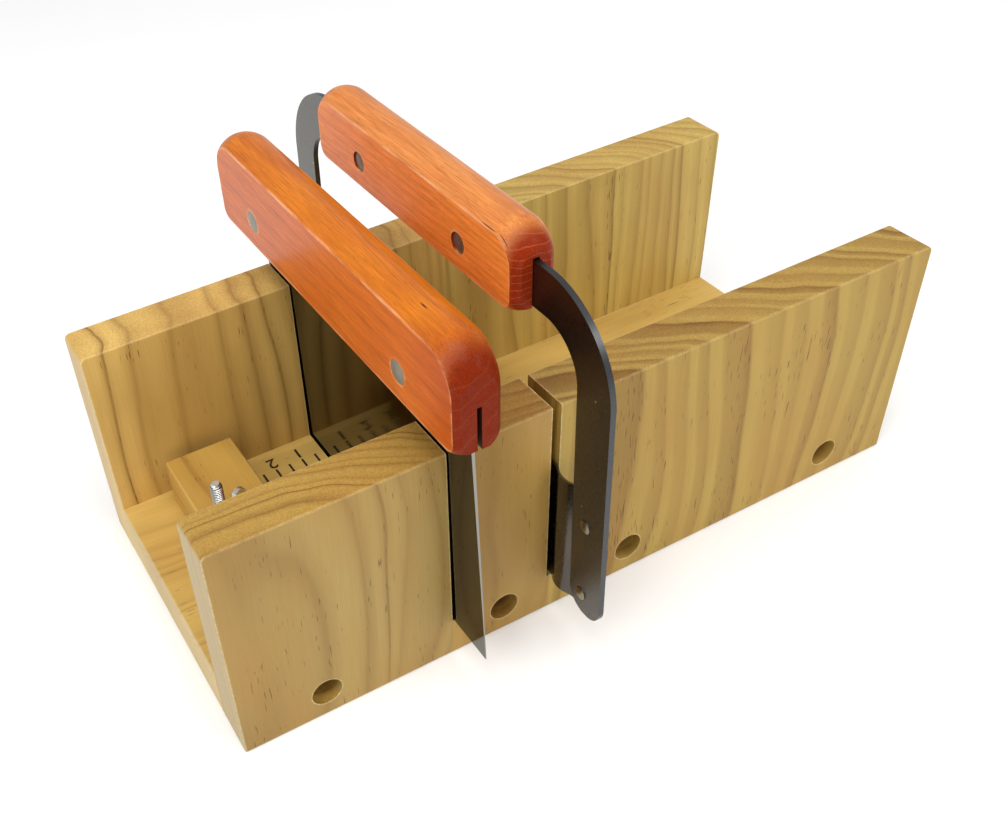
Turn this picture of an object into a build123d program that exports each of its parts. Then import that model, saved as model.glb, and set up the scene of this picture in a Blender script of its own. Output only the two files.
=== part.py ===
from build123d import *
import os
from math import ceil, sqrt

# A soap cutter: an open wooden mitre box with two cutting slots, a sliding stop
# held by a wing nut, and two loose cutters, one straight and one crinkle.
# Millimetres. X runs along the box, Z is up, and the origin is the centre of
# the underside.

# Box
box_length = 250.0
box_width = 114.0
wall_height = 83.0
wall_thickness = 16.5
base_thickness = 19.0
wall_end_radius = 2.0
box_ease = 0.5
floor_width = box_width - 2 * wall_thickness
inner_y = floor_width / 2
outer_y = box_width / 2
left_end = -box_length / 2

# Cutting slots, sawn down both walls and into the top of the base
straight_slot_inset = 73.0
straight_slot_width = 3.0
slot_spacing = 34.4
slot_floor = 14.5
blade_side_gap = 0.3

# Screws that hold the walls to the base
screw_end_inset = 28.0
screw_past_slot = 30.6
screw_level = 9.8
well_diameter = 10.0
well_depth = 8.5
screw_diameter = 4.0
screw_length = 30.0
screw_tip = 5.0
screw_head_diameter = 7.5
screw_head_height = 2.8
screw_head_chamfer = 1.2
screw_clearance = 0.15
thread_clearance = 0.05

# Sliding stop and its clamp
stop_length = 24.0
stop_side_gap = 3.5
stop_height = 16.3
stop_inset = 17.3
stop_ease = 0.8
clamp_inset = 5.7
travel_left = 9.5
stop_blade_gap = 1.2
bolt_diameter = 4.0
bolt_top = 52.0
bolt_chamfer = 0.5
bolt_hole_clearance = 0.5
neck_height = 3.0
neck_side = 4.2
neck_gap = 0.4
bolt_head_diameter = 8.0
bolt_head_height = 3.0
bolt_head_rim = 0.8
groove_depth = 5.0
groove_gap = 0.5
washer_diameter = 9.0
washer_thickness = 0.8
washer_clearance = 0.15
nut_clearance = 0.05
nut_span = 20.0
nut_height = 8.0
nut_hub_diameter = 8.0
nut_hub_height = 4.6
nut_hub_top_diameter = 6.4
wing_thickness = 1.8
wing_tip_radius = 2.2
wing_root = 0.9
nut_turn = 17.0

# Straight cutter. A handle's height and length are those of its flat sides; the
# top and ends are crowned beyond them, and the ends are then sawn to a facet
straight_handle_reach = 14.2
straight_handle_length = 144.6
straight_handle_thickness = 14.0
straight_handle_bottom = 95.7
straight_handle_height = 28.1
straight_top_radius = 11.0
straight_bottom_radius = 3.5
straight_crown = 3.0
straight_facet = 1.4
straight_blade_thickness = 1.0
cutting_edge_thickness = 0.3
straight_blade_top = 109.0
straight_blade_reach = 11.2
straight_blade_back_inset = 16.4
straight_blade_lean = 6.2
straight_kerf_gap = 0.15
kerf_headroom = 0.4
straight_rivet_level = 105.1
straight_rivet_front_inset = 27.1
straight_rivet_back_inset = 25.2
straight_rivet_head = 7.0

# Crinkle cutter
wavy_centre_y = 7.9
wavy_handle_length = 110.0
wavy_handle_shift = 0.8
wavy_handle_thickness = 13.8
wavy_handle_height = 20.3
wavy_top_radius = 8.0
wavy_bottom_radius = 3.5
wavy_crown = 3.2
wavy_facet = 2.0
frame_thickness = 1.8
frame_bar_width = 14.0
arm_wall_gap = 11.95
frame_flare = 2.0
frame_outer_radius = 29.0
frame_top = 126.8
frame_grip = 14.7
frame_bottom = 18.6
foot_outer_share = 0.42
foot_inner_share = 0.53
wavy_kerf_gap = 0.1
sheet_thickness = 0.7
wave_pitch = 14.0
wave_depth = 1.7
wavy_blade_top = 60.5
wavy_blade_corner = 10.0
wavy_blade_inset = 3.4
wavy_rivet_height = 8.2
wavy_rivet_front_inset = 25.4
wavy_rivet_back_inset = 27.1
wavy_rivet_head = 6.5

# Rivets
rivet_shank_diameter = 3.6
rivet_clearance = 0.05
rivet_head_depth = 2.0
rivet_crown = 0.3
rivet_sink = 0.3
arm_rivet_high = 53.6
arm_rivet_low = 26.0
arm_rivet_head = 4.2
arm_rivet_shank = 2.6
arm_rivet_rim = 0.3
arm_rivet_crown = 0.6

# Overrun of every cut past the faces it opens
overrun = 2.0

os.makedirs("parts", exist_ok=True)


def keep(piece, name):
    piece.part.label = name
    export_step(piece.part, "parts/" + name + ".step")


# Places and sizes that follow from the fits
straight_slot_x = left_end + straight_slot_inset
wavy_slot_x = straight_slot_x + slot_spacing
screw_places = (
    left_end + screw_end_inset,
    (straight_slot_x + wavy_slot_x) / 2,
    wavy_slot_x + screw_past_slot,
    -left_end - screw_end_inset,
)
straight_blade_x = (
    straight_slot_x - straight_slot_width / 2 + blade_side_gap + straight_blade_thickness / 2
)
wavy_blade_depth = wave_depth + sheet_thickness
wavy_slot_width = wavy_blade_depth + 2 * blade_side_gap
frame_x = wavy_slot_x - wavy_blade_depth / 2 - frame_thickness / 2
groove_width = bolt_head_diameter + 2 * groove_gap
clamp_slot_width = neck_side + 2 * neck_gap
stop_left = left_end + stop_inset
clamp_x = stop_left + clamp_inset
blade_face = straight_blade_x - straight_blade_thickness / 2
straight_handle_front = -outer_y - straight_handle_reach
straight_blade_front = -outer_y - straight_blade_reach
straight_blade_back = straight_handle_front + straight_handle_length - straight_blade_back_inset
frame_half_width = outer_y + arm_wall_gap + frame_bar_width + wavy_centre_y
wavy_handle_bottom = frame_top - frame_grip
wavy_rivet_level = wavy_handle_bottom + wavy_rivet_height
travel_right = blade_face - stop_blade_gap - stop_left - stop_length
# The corners of the square neck reach into the round slot ends with room to spare
slot_end_reach = sqrt((clamp_slot_width / 2 - neck_gap / 2) ** 2 - (neck_side / 2) ** 2)
slot_centre_left = clamp_x - travel_left - neck_side / 2 + slot_end_reach
slot_centre_right = clamp_x + travel_right + neck_side / 2 - slot_end_reach
clamp_slot_mid = (slot_centre_left + slot_centre_right) / 2
clamp_slot_length = slot_centre_right - slot_centre_left + clamp_slot_width
groove_length = slot_centre_right - slot_centre_left + groove_width


# Base board, with the two kerfs, the clamp slot and the screw pilots
with BuildPart() as base_board:
    with BuildSketch():
        Rectangle(box_length, floor_width)
    extrude(amount=base_thickness)
    fillet(base_board.edges().filter_by(Axis.Y), box_ease)
    with BuildSketch(Plane.XY.offset(slot_floor)):
        with Locations((straight_slot_x, 0)):
            Rectangle(straight_slot_width, floor_width + overrun)
        with Locations((wavy_slot_x, 0)):
            Rectangle(wavy_slot_width, floor_width + overrun)
    extrude(amount=base_thickness, mode=Mode.SUBTRACT)
    with BuildSketch():
        with Locations((clamp_slot_mid, 0)):
            SlotOverall(clamp_slot_length, clamp_slot_width)
    extrude(amount=base_thickness, mode=Mode.SUBTRACT)
    with BuildSketch():
        with Locations((clamp_slot_mid, 0)):
            SlotOverall(groove_length, groove_width)
    extrude(amount=groove_depth, mode=Mode.SUBTRACT)
    pilot_depth = screw_length - (wall_thickness - well_depth) + overrun
    for side_plane in (Plane.XZ.offset(inner_y), Plane.XZ.rotated((0, 0, 180)).offset(inner_y)):
        with Locations(side_plane):
            with Locations(*[(x * side_plane.x_dir.X, screw_level) for x in screw_places]):
                Hole(screw_diameter / 2 + thread_clearance, depth=pilot_depth)
keep(base_board, "base_board")


# Side walls: round-shouldered boards, sawn for the blades and bored for the screws
with BuildPart() as front_wall:
    with BuildSketch(Plane.XZ.offset(inner_y)) as wall_outline:
        with Locations((0, wall_height / 2)):
            Rectangle(box_length, wall_height)
        fillet(wall_outline.vertices().group_by(Axis.Y)[-1], wall_end_radius)
    extrude(amount=wall_thickness)
    fillet(front_wall.edges().group_by(Axis.Y)[0], box_ease)
    fillet(front_wall.edges().group_by(Axis.Y)[-1], box_ease)
    with BuildSketch(Plane.XY.offset(slot_floor)):
        with Locations((straight_slot_x, -outer_y + wall_thickness / 2)):
            Rectangle(straight_slot_width, wall_thickness + overrun)
        with Locations((wavy_slot_x, -outer_y + wall_thickness / 2)):
            Rectangle(wavy_slot_width, wall_thickness + overrun)
    extrude(amount=wall_height, mode=Mode.SUBTRACT)
    with Locations(Plane.XZ.offset(outer_y)):
        with Locations(*[(x, screw_level) for x in screw_places]):
            CounterBoreHole(
                screw_diameter / 2 + screw_clearance,
                well_diameter / 2,
                well_depth,
                depth=wall_thickness + overrun,
            )
keep(front_wall, "front_wall")

with BuildPart() as back_wall:
    mirror(front_wall.part, about=Plane.XZ)
keep(back_wall, "back_wall")


# Wood screws, heads down in the wells
def wood_screw(x, side):
    seat = Vector(x, side * (outer_y - well_depth), screw_level)
    head_radius = screw_head_diameter / 2
    radius = screw_diameter / 2
    with BuildPart() as screw:
        with BuildSketch(Plane(seat, x_dir=(1, 0, 0), z_dir=(0, 0, -side))):
            with BuildLine():
                Polyline(
                    (0, -screw_head_height),
                    (head_radius - screw_head_chamfer, -screw_head_height),
                    (head_radius, -screw_head_height + screw_head_chamfer),
                    (head_radius, 0),
                    (radius, 0),
                    (radius, screw_length - screw_tip),
                    (0, screw_length),
                    close=True,
                )
            make_face()
        revolve(axis=Axis(seat, (0, 1, 0)))
    return screw


for number, x in enumerate(screw_places, start=1):
    keep(wood_screw(x, -1), "front_screw_" + str(number))
    keep(wood_screw(x, 1), "back_screw_" + str(number))


# Stop block, bored near one edge for the clamp bolt
stop_width = floor_width - 2 * stop_side_gap
stop_top = base_thickness + stop_height
with BuildPart() as stop_block:
    with BuildSketch(Plane.XY.offset(base_thickness)):
        with Locations((stop_left + stop_length / 2, 0)):
            Rectangle(stop_length, stop_width)
    extrude(amount=stop_height)
    fillet(stop_block.edges(), stop_ease)
    with Locations((clamp_x, 0, stop_top)):
        Hole(bolt_diameter / 2 + bolt_hole_clearance, depth=stop_height)
keep(stop_block, "stop_block")


# Clamp bolt: a domed head under the board, a square neck and a round shank
head_bottom = groove_depth - bolt_head_height
neck_top = groove_depth + neck_height
with BuildPart() as clamp_bolt:
    with BuildSketch(Plane.XZ):
        with BuildLine():
            Line((clamp_x, head_bottom), (clamp_x, bolt_top))
            Polyline(
                (clamp_x, bolt_top),
                (clamp_x + bolt_diameter / 2 - bolt_chamfer, bolt_top),
                (clamp_x + bolt_diameter / 2, bolt_top - bolt_chamfer),
                (clamp_x + bolt_diameter / 2, groove_depth),
                (clamp_x + bolt_head_diameter / 2, groove_depth),
                (clamp_x + bolt_head_diameter / 2, groove_depth - bolt_head_rim),
            )
            dome = bolt_head_height - bolt_head_rim
            dome_radius = ((bolt_head_diameter / 2) ** 2 + dome**2) / (2 * dome)
            half_way = bolt_head_diameter / 4
            ThreePointArc(
                (clamp_x + bolt_head_diameter / 2, groove_depth - bolt_head_rim),
                (
                    clamp_x + half_way,
                    head_bottom + dome_radius - sqrt(dome_radius**2 - half_way**2),
                ),
                (clamp_x, head_bottom),
            )
        make_face()
    revolve(axis=Axis((clamp_x, 0, 0), (0, 0, 1)))
    with BuildSketch(Plane.XY.offset(groove_depth)):
        with Locations((clamp_x, 0)):
            Rectangle(neck_side, neck_side)
    extrude(amount=neck_height)
keep(clamp_bolt, "clamp_bolt")

with BuildPart() as washer:
    with BuildSketch(Plane.XY.offset(stop_top)):
        with Locations((clamp_x, 0)):
            Circle(washer_diameter / 2)
            Circle(bolt_diameter / 2 + washer_clearance, mode=Mode.SUBTRACT)
    extrude(amount=washer_thickness)
keep(washer, "washer")


# Wing nut: a tapered hub with two swept wings, turned a little from square
nut_base = stop_top + washer_thickness
tip_centre = (nut_span / 2 - wing_tip_radius, nut_height - wing_tip_radius)
with BuildPart() as wing_nut:
    nut_plane = Plane((clamp_x, 0, nut_base), x_dir=(1, 0, 0), z_dir=(0, -1, 0))
    with BuildSketch(nut_plane):
        with BuildLine():
            Polyline(
                (0, 0),
                (nut_hub_diameter / 2, 0),
                (nut_hub_diameter / 2, wing_root),
                (nut_hub_top_diameter / 2, nut_hub_height),
                (0, nut_hub_height),
                close=True,
            )
        make_face()
    revolve(axis=Axis((clamp_x, 0, 0), (0, 0, 1)))
    with BuildSketch(nut_plane) as wing_outline:
        with BuildLine():
            Polyline(
                (0, wing_root),
                (nut_hub_diameter / 2, wing_root),
                (tip_centre[0] + wing_tip_radius, tip_centre[1]),
            )
            ThreePointArc(
                (tip_centre[0] + wing_tip_radius, tip_centre[1]),
                (tip_centre[0], nut_height),
                (tip_centre[0] - wing_tip_radius, tip_centre[1]),
            )
            Polyline(
                (tip_centre[0] - wing_tip_radius, tip_centre[1]),
                (nut_hub_top_diameter / 2, nut_hub_height - wing_root),
                (0, nut_hub_height - wing_root),
                (0, wing_root),
            )
        make_face()
        mirror(about=Plane.YZ)
    extrude(amount=wing_thickness / 2, both=True)
    with Locations((clamp_x, 0, nut_base + nut_height)):
        Hole(bolt_diameter / 2 + nut_clearance, depth=nut_height)
wing_nut.part = wing_nut.part.rotate(Axis((clamp_x, 0, 0), (0, 0, 1)), nut_turn)
keep(wing_nut, "wing_nut")


# A wooden handle: an oblong whose top and ends are crowned, kerfed underneath for its steel
def handle(x, front, length, thickness, bottom, height, top_radius, bottom_radius, crown_height,
           facet, kerf_width, kerf_top, rivet_level, rivet_places, rivet_head):
    back = front + length
    top = bottom + height
    mid = front + length / 2
    with BuildPart() as grip:
        with BuildSketch(Plane.YZ.offset(x)) as outline:
            with Locations((mid, bottom + height / 2)):
                Rectangle(length, height)
            fillet(outline.vertices().group_by(Axis.Y)[-1], top_radius)
            fillet(outline.vertices().group_by(Axis.Y)[0], bottom_radius)
        extrude(amount=thickness / 2, both=True)
        # The crown follows the rim of the sides from one lower corner to the other
        with BuildLine(Plane.YZ.offset(x)) as rim:
            RadiusArc(
                (front + bottom_radius, bottom), (front, bottom + bottom_radius), bottom_radius
            )
            Line((front, bottom + bottom_radius), (front, top - top_radius))
            RadiusArc((front, top - top_radius), (front + top_radius, top), top_radius)
            Line((front + top_radius, top), (back - top_radius, top))
            RadiusArc((back - top_radius, top), (back, top - top_radius), top_radius)
            Line((back, top - top_radius), (back, bottom + bottom_radius))
            RadiusArc(
                (back, bottom + bottom_radius), (back - bottom_radius, bottom), bottom_radius
            )
        start = (x, front + bottom_radius, bottom)
        with BuildSketch(Plane(start, x_dir=(1, 0, 0), z_dir=(0, -1, 0))):
            with BuildLine():
                Polyline(
                    (thickness / 2, 0),
                    (thickness / 2, bottom_radius / 2),
                    (-thickness / 2, bottom_radius / 2),
                    (-thickness / 2, 0),
                )
                ThreePointArc((-thickness / 2, 0), (0, -crown_height), (thickness / 2, 0))
            make_face()
        sweep(path=rim.wires()[0])
        with BuildSketch(Plane.YZ.offset(x)):
            with Locations((mid, bottom)):
                Rectangle(
                    length + 2 * facet, height + crown_height + overrun, align=(Align.CENTER, Align.MIN)
                )
        extrude(amount=thickness, both=True, mode=Mode.INTERSECT)
        with BuildSketch(Plane.XY.offset(bottom - overrun)):
            with Locations((x, mid)):
                Rectangle(kerf_width, length + 2 * facet + overrun)
        extrude(amount=kerf_top - bottom + overrun, mode=Mode.SUBTRACT)
        for side in (-1, 1):
            for y in rivet_places:
                with Locations(Plane((x + side * thickness / 2, y, rivet_level), z_dir=(side, 0, 0))):
                    CounterBoreHole(
                        rivet_shank_diameter / 2 + rivet_clearance,
                        rivet_head / 2 + rivet_clearance,
                        rivet_head_depth,
                        depth=thickness / 2,
                    )
    return grip


# A rivet along X: a shank between two seats, with a rim and a crown at each end
def rivet(y, z, seats, rims, crown, head_diameter, shank_diameter):
    head_radius = head_diameter / 2
    crown_radius = (head_radius**2 + crown**2) / (2 * crown)
    crown_mid = crown - crown_radius + sqrt(crown_radius**2 - (head_radius / 2) ** 2)
    left, right = seats[0] - rims[0], seats[1] + rims[1]
    with BuildPart() as pin:
        with BuildSketch(Plane((0, y, z), x_dir=(1, 0, 0), z_dir=(0, -1, 0))):
            with BuildLine():
                ThreePointArc(
                    (left - crown, 0), (left - crown_mid, head_radius / 2), (left, head_radius)
                )
                Polyline(
                    (left, head_radius),
                    (seats[0], head_radius),
                    (seats[0], shank_diameter / 2),
                    (seats[1], shank_diameter / 2),
                    (seats[1], head_radius),
                    (right, head_radius),
                )
                ThreePointArc(
                    (right, head_radius), (right + crown_mid, head_radius / 2), (right + crown, 0)
                )
                Line((right + crown, 0), (left - crown, 0))
            make_face()
        revolve(axis=Axis((0, y, z), (1, 0, 0)))
    return pin


# Straight cutter
straight_rivet_places = (
    straight_handle_front + straight_rivet_front_inset,
    straight_handle_front + straight_handle_length - straight_rivet_back_inset,
)
straight_kerf_width = straight_blade_thickness + 2 * straight_kerf_gap
straight_handle = handle(
    straight_blade_x, straight_handle_front, straight_handle_length, straight_handle_thickness,
    straight_handle_bottom, straight_handle_height, straight_top_radius, straight_bottom_radius,
    straight_crown, straight_facet, straight_kerf_width, straight_blade_top + kerf_headroom,
    straight_rivet_level, straight_rivet_places, straight_rivet_head,
)
keep(straight_handle, "straight_handle")

# Steel blade, ground to a fine edge at the bottom and raked at the front
with BuildPart() as straight_blade:
    with BuildSketch(Plane.XZ.offset(-straight_blade_back)):
        with BuildLine():
            Polyline(
                (straight_blade_x - cutting_edge_thickness / 2, slot_floor),
                (straight_blade_x + cutting_edge_thickness / 2, slot_floor),
                (straight_blade_x + straight_blade_thickness / 2, straight_handle_bottom),
                (straight_blade_x + straight_blade_thickness / 2, straight_blade_top),
                (straight_blade_x - straight_blade_thickness / 2, straight_blade_top),
                (straight_blade_x - straight_blade_thickness / 2, straight_handle_bottom),
                close=True,
            )
        make_face()
    extrude(amount=straight_blade_back - straight_blade_front + straight_blade_lean + overrun)
    with BuildSketch(Plane.YZ.offset(straight_blade_x)):
        with BuildLine():
            Polyline(
                (straight_blade_front, straight_blade_top),
                (straight_blade_back, straight_blade_top),
                (straight_blade_back, slot_floor),
                (straight_blade_front - straight_blade_lean, slot_floor),
                close=True,
            )
        make_face()
    extrude(amount=straight_blade_thickness, both=True, mode=Mode.INTERSECT)
    for y in straight_rivet_places:
        with Locations(Plane((straight_blade_x, y, straight_rivet_level), z_dir=(1, 0, 0))):
            Hole(rivet_shank_diameter / 2 + rivet_clearance)
keep(straight_blade, "straight_blade")

straight_seat = straight_handle_thickness / 2 - rivet_head_depth
for number, y in enumerate(straight_rivet_places, start=1):
    straight_rivet = rivet(
        y, straight_rivet_level, (straight_blade_x - straight_seat, straight_blade_x + straight_seat),
        (rivet_head_depth, rivet_head_depth), rivet_crown, straight_rivet_head,
        rivet_shank_diameter,
    )
    keep(straight_rivet, "straight_rivet_" + str(number))


# Crinkle cutter
wavy_handle_front = wavy_centre_y + wavy_handle_shift - wavy_handle_length / 2
wavy_rivet_places = (
    wavy_handle_front + wavy_rivet_front_inset,
    wavy_handle_front + wavy_handle_length - wavy_rivet_back_inset,
)
wavy_handle = handle(
    frame_x, wavy_handle_front, wavy_handle_length, wavy_handle_thickness,
    wavy_handle_bottom, wavy_handle_height, wavy_top_radius, wavy_bottom_radius,
    wavy_crown, wavy_facet, frame_thickness + 2 * wavy_kerf_gap, frame_top + kerf_headroom,
    wavy_rivet_level, wavy_rivet_places, wavy_rivet_head,
)
keep(wavy_handle, "wavy_handle")

wavy_seat = wavy_handle_thickness / 2 - rivet_head_depth
for number, y in enumerate(wavy_rivet_places, start=1):
    wavy_rivet = rivet(
        y, wavy_rivet_level, (frame_x - wavy_seat, frame_x + wavy_seat),
        (rivet_head_depth - rivet_sink - rivet_crown, rivet_head_depth - rivet_sink - rivet_crown),
        rivet_crown, wavy_rivet_head, rivet_shank_diameter,
    )
    keep(wavy_rivet, "wavy_rivet_" + str(number))

# Frame plate: a flat steel bow, straight across the top, round at the shoulders
shoulder_y = frame_half_width - frame_outer_radius
shoulder_z = frame_top - frame_outer_radius
frame_inner_radius = frame_outer_radius - frame_bar_width
diagonal_share = sqrt(2) / 2
foot_outer = frame_half_width + frame_flare
arm_inner = frame_half_width - frame_bar_width
arm_crest = round((frame_half_width - frame_bar_width / 2) / wave_pitch)
arm_rivet_places = [
    (wavy_centre_y + side * arm_crest * wave_pitch, level)
    for side in (-1, 1)
    for level in (arm_rivet_high, arm_rivet_low)
]
with BuildPart() as wavy_frame:
    with BuildSketch(Plane((frame_x, wavy_centre_y, 0), x_dir=(0, 1, 0), z_dir=(1, 0, 0))) as bow:
        with BuildLine():
            Line((0, frame_top), (shoulder_y, frame_top))
            ThreePointArc(
                (shoulder_y, frame_top),
                (
                    shoulder_y + frame_outer_radius * diagonal_share,
                    shoulder_z + frame_outer_radius * diagonal_share,
                ),
                (frame_half_width, shoulder_z),
            )
            Polyline(
                (frame_half_width, shoulder_z),
                (foot_outer, frame_bottom),
                (foot_outer - frame_bar_width, frame_bottom),
                (arm_inner, shoulder_z),
            )
            ThreePointArc(
                (arm_inner, shoulder_z),
                (
                    shoulder_y + frame_inner_radius * diagonal_share,
                    shoulder_z + frame_inner_radius * diagonal_share,
                ),
                (shoulder_y, shoulder_z + frame_inner_radius),
            )
            Line(
                (shoulder_y, shoulder_z + frame_inner_radius),
                (0, shoulder_z + frame_inner_radius),
            )
            Line((0, shoulder_z + frame_inner_radius), (0, frame_top))
        make_face()
        foot_corners = bow.vertices().group_by(Axis.Y)[0].sort_by(Axis.X)
        fillet(foot_corners[0], foot_inner_share * frame_bar_width)
        fillet(bow.vertices().sort_by(Axis.X)[-1], foot_outer_share * frame_bar_width)
        mirror(about=Plane.YZ)
    extrude(amount=frame_thickness / 2, both=True)
    for y, z in arm_rivet_places:
        with Locations(Plane((frame_x, y, z), z_dir=(1, 0, 0))):
            Hole(arm_rivet_shank / 2 + rivet_clearance)
    for y in wavy_rivet_places:
        with Locations(Plane((frame_x, y, wavy_rivet_level), z_dir=(1, 0, 0))):
            Hole(rivet_shank_diameter / 2 + rivet_clearance)
keep(wavy_frame, "wavy_frame")

# Crinkle blade: one sheet pressed into even waves of tangent arcs
half_pitch = wave_pitch / 2
crest = wave_depth / 2
wave_radius = ((half_pitch / 2) ** 2 + crest**2) / (2 * crest)
skin = sheet_thickness / 2
skin_x = skin * (wave_radius - crest) / wave_radius
skin_y = skin * (half_pitch / 2) / wave_radius


def crossing(face, number):
    way = 1 if number % 2 == 0 else -1
    return (
        wavy_slot_x + face * skin_x,
        wavy_centre_y + (number + 1 / 2) * half_pitch - face * way * skin_y,
    )


def crown(face, number):
    way = -1 if number % 2 == 0 else 1
    return (wavy_slot_x + way * crest + face * skin, wavy_centre_y + number * half_pitch)


last = ceil(foot_outer / half_pitch)
with BuildPart() as wavy_blade:
    with BuildSketch(Plane.XY.offset(slot_floor)):
        with BuildLine():
            for face in (-1, 1):
                for number in range(-last, last + 1):
                    ThreePointArc(
                        crossing(face, number - 1), crown(face, number), crossing(face, number)
                    )
            Line(crossing(-1, -last - 1), crossing(1, -last - 1))
            Line(crossing(-1, last), crossing(1, last))
        make_face()
    extrude(amount=wavy_blade_top - slot_floor)
    with BuildSketch(Plane((wavy_slot_x, wavy_centre_y, 0), x_dir=(0, 1, 0), z_dir=(1, 0, 0))) as cut:
        with BuildLine():
            flare_share = (shoulder_z - wavy_blade_top) / (shoulder_z - frame_bottom)
            foot_reach = foot_outer - wavy_blade_inset
            top_reach = frame_half_width + frame_flare * flare_share - wavy_blade_inset
            Polyline(
                (-foot_reach, slot_floor),
                (foot_reach, slot_floor),
                (top_reach, wavy_blade_top),
                (-top_reach, wavy_blade_top),
                close=True,
            )
        make_face()
        fillet(cut.vertices().group_by(Axis.Y)[0], wavy_blade_corner)
    extrude(amount=wavy_blade_depth, both=True, mode=Mode.INTERSECT)
    for y, z in arm_rivet_places:
        with Locations(Plane((wavy_slot_x, y, z), z_dir=(1, 0, 0))):
            Hole(arm_rivet_shank / 2 + rivet_clearance)
keep(wavy_blade, "wavy_blade")

# Rivets of the crinkle blade, each through a crest that lies on the frame
plate_face = frame_x - frame_thickness / 2
hollow = wave_radius - skin
hollow_rise = hollow - sqrt(hollow**2 - (arm_rivet_head / 2) ** 2)
sheet_face = wavy_slot_x - wavy_blade_depth / 2 + sheet_thickness + hollow_rise
for number, (y, z) in enumerate(arm_rivet_places, start=1):
    arm_rivet = rivet(
        y, z, (plate_face, sheet_face), (arm_rivet_rim, arm_rivet_rim),
        arm_rivet_crown, arm_rivet_head, arm_rivet_shank,
    )
    keep(arm_rivet, "blade_rivet_" + str(number))
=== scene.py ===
from math import cos, pi, radians, sin

import bmesh
import bpy
from mathutils import Matrix, Vector


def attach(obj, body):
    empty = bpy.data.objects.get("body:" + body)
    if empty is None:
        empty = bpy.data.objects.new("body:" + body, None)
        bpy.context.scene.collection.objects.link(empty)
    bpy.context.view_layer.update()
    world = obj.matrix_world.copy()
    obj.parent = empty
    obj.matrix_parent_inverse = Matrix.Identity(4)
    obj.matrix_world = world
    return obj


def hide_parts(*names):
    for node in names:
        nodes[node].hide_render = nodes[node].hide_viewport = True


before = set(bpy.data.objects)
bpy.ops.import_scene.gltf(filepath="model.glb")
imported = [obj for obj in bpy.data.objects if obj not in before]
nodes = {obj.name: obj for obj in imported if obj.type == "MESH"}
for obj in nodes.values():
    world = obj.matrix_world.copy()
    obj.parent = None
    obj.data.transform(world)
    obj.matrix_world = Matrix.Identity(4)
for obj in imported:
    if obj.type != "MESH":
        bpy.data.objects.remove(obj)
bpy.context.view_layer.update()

# The box: three boards of planed pine under a thin satin clear coat. The walls
# stand with their grain upright, so their top edges are end grain, and the
# floor runs lengthwise. Boards are glued up from staves and screwed together.

mm = 0.001


# An sRGB hex colour as the linear one that a shader socket takes
def srgb(text):
    parts = [int(text[i:i + 2], 16) / 255 for i in (1, 3, 5)]
    return [p / 12.92 if p <= 0.04045 else ((p + 0.055) / 1.055) ** 2.4 for p in parts] + [1.0]


# Adds a node, sets or links its inputs, and gives back one of its outputs
def add(tree, kind, inputs=None, out=0, **settings):
    node = tree.nodes.new(kind)
    for name, value in settings.items():
        setattr(node, name, value)
    for socket, value in (inputs or {}).items():
        if isinstance(value, bpy.types.NodeSocket):
            tree.links.new(value, node.inputs[socket])
        else:
            node.inputs[socket].default_value = value
    return node.outputs[out] if node.outputs else node


def new_material(name):
    material = bpy.data.materials.new(name)
    material.use_nodes = True
    return material, material.node_tree, material.node_tree.nodes["Principled BSDF"]


def ramp(tree, value, stops, smooth="LINEAR"):
    node = tree.nodes.new("ShaderNodeValToRGB")
    tree.links.new(value, node.inputs[0])
    node.color_ramp.interpolation = smooth
    steps = node.color_ramp.elements
    while len(steps) < len(stops):
        steps.new(0.5)
    for step, (place, colour) in zip(steps, stops):
        step.position = place
        step.color = srgb(colour) if isinstance(colour, str) else (colour, colour, colour, 1)
    return node.outputs[0]


def axes_of(tree, vector):
    split = tree.nodes.new("ShaderNodeSeparateXYZ")
    tree.links.new(vector, split.inputs[0])
    return split.outputs


# Edges worn pale and given a painted highlight: where a normal rounded over that reach leaves the
# true one
def edge_mask(tree, reach, low, high):
    soft = add(tree, "ShaderNodeBevel", {"Radius": reach}, samples=4)
    true = add(tree, "ShaderNodeNewGeometry", out=1)
    along = add(tree, "ShaderNodeVectorMath", {0: soft, 1: true}, out=1, operation="DOT_PRODUCT")
    return add(tree, "ShaderNodeMapRange", {0: along, 1: 1.0 - low, 2: 1.0 - high})


def dress(material, *names):
    for name in names:
        piece = nodes[name]
        piece.data.materials.clear()
        piece.data.materials.append(material)
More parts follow.
